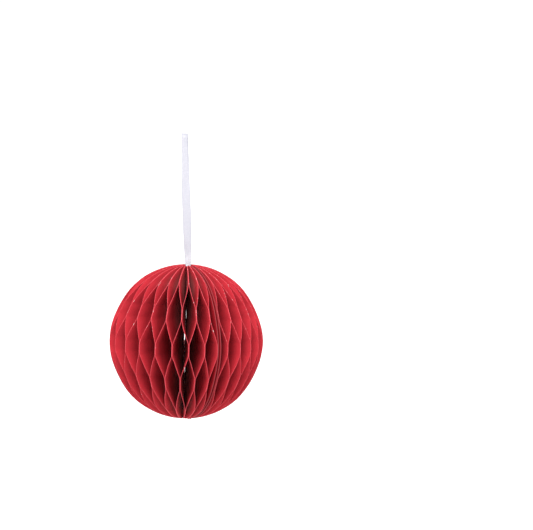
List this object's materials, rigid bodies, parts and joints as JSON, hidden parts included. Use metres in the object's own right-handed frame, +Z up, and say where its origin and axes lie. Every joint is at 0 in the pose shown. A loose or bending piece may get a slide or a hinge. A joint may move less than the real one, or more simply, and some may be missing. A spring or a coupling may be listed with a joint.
{
  "type": "paper honeycomb ball",
  "caption": "Fold-out honeycomb ball of zigzag paper leaves between two stiff covers round one spine, hung by a ribbon loop.",
  "frame": {"origin": "the ball's lowest point, on the spine's axis, with the ball open and hanging straight", "axes": "+Z up along the spine; the ribbon's flat side faces -Y; the seam between the covers lies 25 degrees from -Y towards +X"},
  "size_m": [0.0796, 0.0798, 0.1473],
  "materials": {
    "paper": "matt dyed tissue card",
    "card": "matt dyed card with pale worn edges",
    "thread": "twisted red cotton thread",
    "magnet": "nickel plated",
    "ribbon": "white satin weave"
  },
  "bodies": {
    "ribbon": {"hanging_ribbon": "ribbon"},
    "knot": {"ribbon_knot": "ribbon"},
    "spine": {"binding_thread": "thread", "leaf_26": "paper"},
    "cover_left": {"end_cover_left": "card", "end_cover_left_magnet_lower": "magnet", "end_cover_left_magnet_upper": "magnet"},
    "cover_right": {"end_cover_right": "card", "end_cover_right_magnet_lower": "magnet", "end_cover_right_magnet_upper": "magnet"},
    "leaf_01": {"leaf_01": "paper"},
    "leaf_02": {"leaf_02": "paper"},
    "leaf_03": {"leaf_03": "paper"},
    "leaf_04": {"leaf_04": "paper"},
    "leaf_05": {"leaf_05": "paper"},
    "leaf_06": {"leaf_06": "paper"},
    "leaf_07": {"leaf_07": "paper"},
    "leaf_08": {"leaf_08": "paper"},
    "leaf_09": {"leaf_09": "paper"},
    "leaf_10": {"leaf_10": "paper"},
    "leaf_11": {"leaf_11": "paper"},
    "leaf_12": {"leaf_12": "paper"},
    "leaf_13": {"leaf_13": "paper"},
    "leaf_14": {"leaf_14": "paper"},
    "leaf_15": {"leaf_15": "paper"},
    "leaf_16": {"leaf_16": "paper"},
    "leaf_17": {"leaf_17": "paper"},
    "leaf_18": {"leaf_18": "paper"},
    "leaf_19": {"leaf_19": "paper"},
    "leaf_20": {"leaf_20": "paper"},
    "leaf_21": {"leaf_21": "paper"},
    "leaf_22": {"leaf_22": "paper"},
    "leaf_23": {"leaf_23": "paper"},
    "leaf_24": {"leaf_24": "paper"},
    "leaf_25": {"leaf_25": "paper"},
    "leaf_27": {"leaf_27": "paper"},
    "leaf_28": {"leaf_28": "paper"},
    "leaf_29": {"leaf_29": "paper"},
    "leaf_30": {"leaf_30": "paper"},
    "leaf_31": {"leaf_31": "paper"},
    "leaf_32": {"leaf_32": "paper"},
    "leaf_33": {"leaf_33": "paper"},
    "leaf_34": {"leaf_34": "paper"},
    "leaf_35": {"leaf_35": "paper"},
    "leaf_36": {"leaf_36": "paper"},
    "leaf_37": {"leaf_37": "paper"},
    "leaf_38": {"leaf_38": "paper"},
    "leaf_39": {"leaf_39": "paper"},
    "leaf_40": {"leaf_40": "paper"},
    "leaf_41": {"leaf_41": "paper"},
    "leaf_42": {"leaf_42": "paper"},
    "leaf_43": {"leaf_43": "paper"},
    "leaf_44": {"leaf_44": "paper"},
    "leaf_45": {"leaf_45": "paper"},
    "leaf_46": {"leaf_46": "paper"},
    "leaf_47": {"leaf_47": "paper"},
    "leaf_48": {"leaf_48": "paper"},
    "leaf_49": {"leaf_49": "paper"},
    "leaf_50": {"leaf_50": "paper"},
    "leaf_51": {"leaf_51": "paper"}
  },
  "joints": [
    {"name": "ribbon_twist", "type": "hinge", "parent": "ribbon", "child": "knot", "pos_m": [0, 0, 0.0793], "axis": [0, 0, 1], "range_deg": [-170, 170]},
    {"name": "ball_swing", "type": "hinge", "parent": "knot", "child": "spine", "pos_m": [0, 0, 0.0793], "axis": [1, 0, 0], "range_deg": [-50, 50]},
    {"name": "cover_left_fold", "type": "hinge", "parent": "spine", "child": "cover_left", "pos_m": [0, 0, 0.04], "axis": [0, 0, 1], "range_deg": [-176.93, 0], "deforming": ["leaf_26"]},
    {"name": "leaf_01_fold", "type": "hinge", "parent": "spine", "child": "leaf_01", "pos_m": [0, 0, 0.04], "axis": [0, 0, 1], "range_deg": [-175.02, 0], "deforming": ["leaf_01"]},
    {"name": "leaf_02_fold", "type": "hinge", "parent": "spine", "child": "leaf_02", "pos_m": [0, 0, 0.04], "axis": [0, 0, 1], "range_deg": [-170.19, 0], "deforming": ["leaf_02"]},
    {"name": "leaf_03_fold", "type": "hinge", "parent": "spine", "child": "leaf_03", "pos_m": [0, 0, 0.04], "axis": [0, 0, 1], "range_deg": [-164.76, 0], "deforming": ["leaf_03"]},
    {"name": "leaf_04_fold", "type": "hinge", "parent": "spine", "child": "leaf_04", "pos_m": [0, 0, 0.04], "axis": [0, 0, 1], "range_deg": [-159.06, 0], "deforming": ["leaf_04"]},
    {"name": "leaf_05_fold", "type": "hinge", "parent": "spine", "child": "leaf_05", "pos_m": [0, 0, 0.04], "axis": [0, 0, 1], "range_deg": [-153.22, 0], "deforming": ["leaf_05"]},
    {"name": "leaf_06_fold", "type": "hinge", "parent": "spine", "child": "leaf_06", "pos_m": [0, 0, 0.04], "axis": [0, 0, 1], "range_deg": [-147.27, 0], "deforming": ["leaf_06"]},
    {"name": "leaf_07_fold", "type": "hinge", "parent": "spine", "child": "leaf_07", "pos_m": [0, 0, 0.04], "axis": [0, 0, 1], "range_deg": [-141.2, 0], "deforming": ["leaf_07"]},
    {"name": "leaf_08_fold", "type": "hinge", "parent": "spine", "child": "leaf_08", "pos_m": [0, 0, 0.04], "axis": [0, 0, 1], "range_deg": [-134.99, 0], "deforming": ["leaf_08"]},
    {"name": "leaf_09_fold", "type": "hinge", "parent": "spine", "child": "leaf_09", "pos_m": [0, 0, 0.04], "axis": [0, 0, 1], "range_deg": [-128.65, 0], "deforming": ["leaf_09"]},
    {"name": "leaf_10_fold", "type": "hinge", "parent": "spine", "child": "leaf_10", "pos_m": [0, 0, 0.04], "axis": [0, 0, 1], "range_deg": [-122.15, 0], "deforming": ["leaf_10"]},
    {"name": "leaf_11_fold", "type": "hinge", "parent": "spine", "child": "leaf_11", "pos_m": [0, 0, 0.04], "axis": [0, 0, 1], "range_deg": [-115.48, 0], "deforming": ["leaf_11"]},
    {"name": "leaf_12_fold", "type": "hinge", "parent": "spine", "child": "leaf_12", "pos_m": [0, 0, 0.04], "axis": [0, 0, 1], "range_deg": [-108.64, 0], "deforming": ["leaf_12"]},
    {"name": "leaf_13_fold", "type": "hinge", "parent": "spine", "child": "leaf_13", "pos_m": [0, 0, 0.04], "axis": [0, 0, 1], "range_deg": [-101.62, 0], "deforming": ["leaf_13"]},
    {"name": "leaf_14_fold", "type": "hinge", "parent": "spine", "child": "leaf_14", "pos_m": [0, 0, 0.04], "axis": [0, 0, 1], "range_deg": [-94.42, 0], "deforming": ["leaf_14"]},
    {"name": "leaf_15_fold", "type": "hinge", "parent": "spine", "child": "leaf_15", "pos_m": [0, 0, 0.04], "axis": [0, 0, 1], "range_deg": [-87.06, 0], "deforming": ["leaf_15"]},
    {"name": "leaf_16_fold", "type": "hinge", "parent": "spine", "child": "leaf_16", "pos_m": [0, 0, 0.04], "axis": [0, 0, 1], "range_deg": [-79.54, 0], "deforming": ["leaf_16"]},
    {"name": "leaf_17_fold", "type": "hinge", "parent": "spine", "child": "leaf_17", "pos_m": [0, 0, 0.04], "axis": [0, 0, 1], "range_deg": [-71.87, 0], "deforming": ["leaf_17"]},
    {"name": "leaf_18_fold", "type": "hinge", "parent": "spine", "child": "leaf_18", "pos_m": [0, 0, 0.04], "axis": [0, 0, 1], "range_deg": [-64.08, 0], "deforming": ["leaf_18"]},
    {"name": "leaf_19_fold", "type": "hinge", "parent": "spine", "child": "leaf_19", "pos_m": [0, 0, 0.04], "axis": [0, 0, 1], "range_deg": [-56.19, 0], "deforming": ["leaf_19"]},
    {"name": "leaf_20_fold", "type": "hinge", "parent": "spine", "child": "leaf_20", "pos_m": [0, 0, 0.04], "axis": [0, 0, 1], "range_deg": [-48.21, 0], "deforming": ["leaf_20"]},
    {"name": "leaf_21_fold", "type": "hinge", "parent": "spine", "child": "leaf_21", "pos_m": [0, 0, 0.04], "axis": [0, 0, 1], "range_deg": [-40.17, 0], "deforming": ["leaf_21"]},
    {"name": "leaf_22_fold", "type": "hinge", "parent": "spine", "child": "leaf_22", "pos_m": [0, 0, 0.04], "axis": [0, 0, 1], "range_deg": [-32.11, 0], "deforming": ["leaf_22"]},
    {"name": "leaf_23_fold", "type": "hinge", "parent": "spine", "child": "leaf_23", "pos_m": [0, 0, 0.04], "axis": [0, 0, 1], "range_deg": [-24.03, 0], "deforming": ["leaf_23"]},
    {"name": "leaf_24_fold", "type": "hinge", "parent": "spine", "child": "leaf_24", "pos_m": [0, 0, 0.04], "axis": [0, 0, 1], "range_deg": [-15.98, 0], "deforming": ["leaf_24"]},
    {"name": "leaf_25_fold", "type": "hinge", "parent": "spine", "child": "leaf_25", "pos_m": [0, 0, 0.04], "axis": [0, 0, 1], "range_deg": [-7.97, 0], "deforming": ["leaf_25"]},
    {"name": "leaf_27_fold", "type": "hinge", "parent": "spine", "child": "leaf_27", "pos_m": [0, 0, 0.04], "axis": [0, 0, 1], "range_deg": [0, 7.89], "deforming": ["leaf_27"]},
    {"name": "leaf_28_fold", "type": "hinge", "parent": "spine", "child": "leaf_28", "pos_m": [0, 0, 0.04], "axis": [0, 0, 1], "range_deg": [0, 15.66], "deforming": ["leaf_28"]},
    {"name": "leaf_29_fold", "type": "hinge", "parent": "spine", "child": "leaf_29", "pos_m": [0, 0, 0.04], "axis": [0, 0, 1], "range_deg": [0, 23.33], "deforming": ["leaf_29"]},
    {"name": "leaf_30_fold", "type": "hinge", "parent": "spine", "child": "leaf_30", "pos_m": [0, 0, 0.04], "axis": [0, 0, 1], "range_deg": [0, 30.89], "deforming": ["leaf_30"]},
    {"name": "leaf_31_fold", "type": "hinge", "parent": "spine", "child": "leaf_31", "pos_m": [0, 0, 0.04], "axis": [0, 0, 1], "range_deg": [0, 38.32], "deforming": ["leaf_31"]},
    {"name": "leaf_32_fold", "type": "hinge", "parent": "spine", "child": "leaf_32", "pos_m": [0, 0, 0.04], "axis": [0, 0, 1], "range_deg": [0, 45.63], "deforming": ["leaf_32"]},
    {"name": "leaf_33_fold", "type": "hinge", "parent": "spine", "child": "leaf_33", "pos_m": [0, 0, 0.04], "axis": [0, 0, 1], "range_deg": [0, 52.82], "deforming": ["leaf_33"]},
    {"name": "leaf_34_fold", "type": "hinge", "parent": "spine", "child": "leaf_34", "pos_m": [0, 0, 0.04], "axis": [0, 0, 1], "range_deg": [0, 59.88], "deforming": ["leaf_34"]},
    {"name": "leaf_35_fold", "type": "hinge", "parent": "spine", "child": "leaf_35", "pos_m": [0, 0, 0.04], "axis": [0, 0, 1], "range_deg": [0, 66.83], "deforming": ["leaf_35"]},
    {"name": "leaf_36_fold", "type": "hinge", "parent": "spine", "child": "leaf_36", "pos_m": [0, 0, 0.04], "axis": [0, 0, 1], "range_deg": [0, 73.67], "deforming": ["leaf_36"]},
    {"name": "leaf_37_fold", "type": "hinge", "parent": "spine", "child": "leaf_37", "pos_m": [0, 0, 0.04], "axis": [0, 0, 1], "range_deg": [0, 80.39], "deforming": ["leaf_37"]},
    {"name": "leaf_38_fold", "type": "hinge", "parent": "spine", "child": "leaf_38", "pos_m": [0, 0, 0.04], "axis": [0, 0, 1], "range_deg": [0, 87.01], "deforming": ["leaf_38"]},
    {"name": "leaf_39_fold", "type": "hinge", "parent": "spine", "child": "leaf_39", "pos_m": [0, 0, 0.04], "axis": [0, 0, 1], "range_deg": [0, 93.54], "deforming": ["leaf_39"]},
    {"name": "leaf_40_fold", "type": "hinge", "parent": "spine", "child": "leaf_40", "pos_m": [0, 0, 0.04], "axis": [0, 0, 1], "range_deg": [0, 99.97], "deforming": ["leaf_40"]},
    {"name": "leaf_41_fold", "type": "hinge", "parent": "spine", "child": "leaf_41", "pos_m": [0, 0, 0.04], "axis": [0, 0, 1], "range_deg": [0, 106.31], "deforming": ["leaf_41"]},
    {"name": "leaf_42_fold", "type": "hinge", "parent": "spine", "child": "leaf_42", "pos_m": [0, 0, 0.04], "axis": [0, 0, 1], "range_deg": [0, 112.57], "deforming": ["leaf_42"]},
    {"name": "leaf_43_fold", "type": "hinge", "parent": "spine", "child": "leaf_43", "pos_m": [0, 0, 0.04], "axis": [0, 0, 1], "range_deg": [0, 118.75], "deforming": ["leaf_43"]},
    {"name": "leaf_44_fold", "type": "hinge", "parent": "spine", "child": "leaf_44", "pos_m": [0, 0, 0.04], "axis": [0, 0, 1], "range_deg": [0, 124.85], "deforming": ["leaf_44"]},
    {"name": "leaf_45_fold", "type": "hinge", "parent": "spine", "child": "leaf_45", "pos_m": [0, 0, 0.04], "axis": [0, 0, 1], "range_deg": [0, 130.88], "deforming": ["leaf_45"]},
    {"name": "leaf_46_fold", "type": "hinge", "parent": "spine", "child": "leaf_46", "pos_m": [0, 0, 0.04], "axis": [0, 0, 1], "range_deg": [0, 136.84], "deforming": ["leaf_46"]},
    {"name": "leaf_47_fold", "type": "hinge", "parent": "spine", "child": "leaf_47", "pos_m": [0, 0, 0.04], "axis": [0, 0, 1], "range_deg": [0, 142.74], "deforming": ["leaf_47"]},
    {"name": "leaf_48_fold", "type": "hinge", "parent": "spine", "child": "leaf_48", "pos_m": [0, 0, 0.04], "axis": [0, 0, 1], "range_deg": [0, 148.57], "deforming": ["leaf_48"]},
    {"name": "leaf_49_fold", "type": "hinge", "parent": "spine", "child": "leaf_49", "pos_m": [0, 0, 0.04], "axis": [0, 0, 1], "range_deg": [0, 154.33], "deforming": ["leaf_49"]},
    {"name": "leaf_50_fold", "type": "hinge", "parent": "spine", "child": "leaf_50", "pos_m": [0, 0, 0.04], "axis": [0, 0, 1], "range_deg": [0, 159.98], "deforming": ["leaf_50"]},
    {"name": "leaf_51_fold", "type": "hinge", "parent": "spine", "child": "leaf_51", "pos_m": [0, 0, 0.04], "axis": [0, 0, 1], "range_deg": [0, 165.39], "deforming": ["leaf_51"]},
    {"name": "cover_right_fold", "type": "hinge", "parent": "spine", "child": "cover_right", "pos_m": [0, 0, 0.04], "axis": [0, 0, 1], "range_deg": [0, 167.92]}
  ],
  "couplings": [
    {"joint": "leaf_01_fold", "follows": "cover_left_fold", "ratio": 0.98912},
    {"joint": "leaf_02_fold", "follows": "cover_left_fold", "ratio": 0.96185},
    {"joint": "leaf_03_fold", "follows": "cover_left_fold", "ratio": 0.93113},
    {"joint": "leaf_04_fold", "follows": "cover_left_fold", "ratio": 0.89894},
    {"joint": "leaf_05_fold", "follows": "cover_left_fold", "ratio": 0.86594},
    {"joint": "leaf_06_fold", "follows": "cover_left_fold", "ratio": 0.83228},
    {"joint": "leaf_07_fold", "follows": "cover_left_fold", "ratio": 0.79796},
    {"joint": "leaf_08_fold", "follows": "cover_left_fold", "ratio": 0.7629},
    {"joint": "leaf_09_fold", "follows": "cover_left_fold", "ratio": 0.72704},
    {"joint": "leaf_10_fold", "follows": "cover_left_fold", "ratio": 0.69029},
    {"joint": "leaf_11_fold", "follows": "cover_left_fold", "ratio": 0.6526},
    {"joint": "leaf_12_fold", "follows": "cover_left_fold", "ratio": 0.61393},
    {"joint": "leaf_13_fold", "follows": "cover_left_fold", "ratio": 0.57426},
    {"joint": "leaf_14_fold", "follows": "cover_left_fold", "ratio": 0.5336},
    {"joint": "leaf_15_fold", "follows": "cover_left_fold", "ratio": 0.49198},
    {"joint": "leaf_16_fold", "follows": "cover_left_fold", "ratio": 0.44947},
    {"joint": "leaf_17_fold", "follows": "cover_left_fold", "ratio": 0.40615},
    {"joint": "leaf_18_fold", "follows": "cover_left_fold", "ratio": 0.36211},
    {"joint": "leaf_19_fold", "follows": "cover_left_fold", "ratio": 0.31748},
    {"joint": "leaf_20_fold", "follows": "cover_left_fold", "ratio": 0.27239},
    {"joint": "leaf_21_fold", "follows": "cover_left_fold", "ratio": 0.22697},
    {"joint": "leaf_22_fold", "follows": "cover_left_fold", "ratio": 0.18138},
    {"joint": "leaf_23_fold", "follows": "cover_left_fold", "ratio": 0.13575},
    {"joint": "leaf_24_fold", "follows": "cover_left_fold", "ratio": 0.090231},
    {"joint": "leaf_25_fold", "follows": "cover_left_fold", "ratio": 0.04494},
    {"joint": "leaf_27_fold", "follows": "cover_left_fold", "ratio": -0.044489},
    {"joint": "leaf_28_fold", "follows": "cover_left_fold", "ratio": -0.088441},
    {"joint": "leaf_29_fold", "follows": "cover_left_fold", "ratio": -0.13179},
    {"joint": "leaf_30_fold", "follows": "cover_left_fold", "ratio": -0.17449},
    {"joint": "leaf_31_fold", "follows": "cover_left_fold", "ratio": -0.21651},
    {"joint": "leaf_32_fold", "follows": "cover_left_fold", "ratio": -0.25783},
    {"joint": "leaf_33_fold", "follows": "cover_left_fold", "ratio": -0.29845},
    {"joint": "leaf_34_fold", "follows": "cover_left_fold", "ratio": -0.33839},
    {"joint": "leaf_35_fold", "follows": "cover_left_fold", "ratio": -0.37765},
    {"joint": "leaf_36_fold", "follows": "cover_left_fold", "ratio": -0.41628},
    {"joint": "leaf_37_fold", "follows": "cover_left_fold", "ratio": -0.45429},
    {"joint": "leaf_38_fold", "follows": "cover_left_fold", "ratio": -0.49171},
    {"joint": "leaf_39_fold", "follows": "cover_left_fold", "ratio": -0.52859},
    {"joint": "leaf_40_fold", "follows": "cover_left_fold", "ratio": -0.56494},
    {"joint": "leaf_41_fold", "follows": "cover_left_fold", "ratio": -0.60079},
    {"joint": "leaf_42_fold", "follows": "cover_left_fold", "ratio": -0.63616},
    {"joint": "leaf_43_fold", "follows": "cover_left_fold", "ratio": -0.67109},
    {"joint": "leaf_44_fold", "follows": "cover_left_fold", "ratio": -0.70558},
    {"joint": "leaf_45_fold", "follows": "cover_left_fold", "ratio": -0.73966},
    {"joint": "leaf_46_fold", "follows": "cover_left_fold", "ratio": -0.77336},
    {"joint": "leaf_47_fold", "follows": "cover_left_fold", "ratio": -0.80668},
    {"joint": "leaf_48_fold", "follows": "cover_left_fold", "ratio": -0.83965},
    {"joint": "leaf_49_fold", "follows": "cover_left_fold", "ratio": -0.87219},
    {"joint": "leaf_50_fold", "follows": "cover_left_fold", "ratio": -0.9041},
    {"joint": "leaf_51_fold", "follows": "cover_left_fold", "ratio": -0.9347},
    {"joint": "cover_right_fold", "follows": "cover_left_fold", "ratio": -0.949}
  ]
}
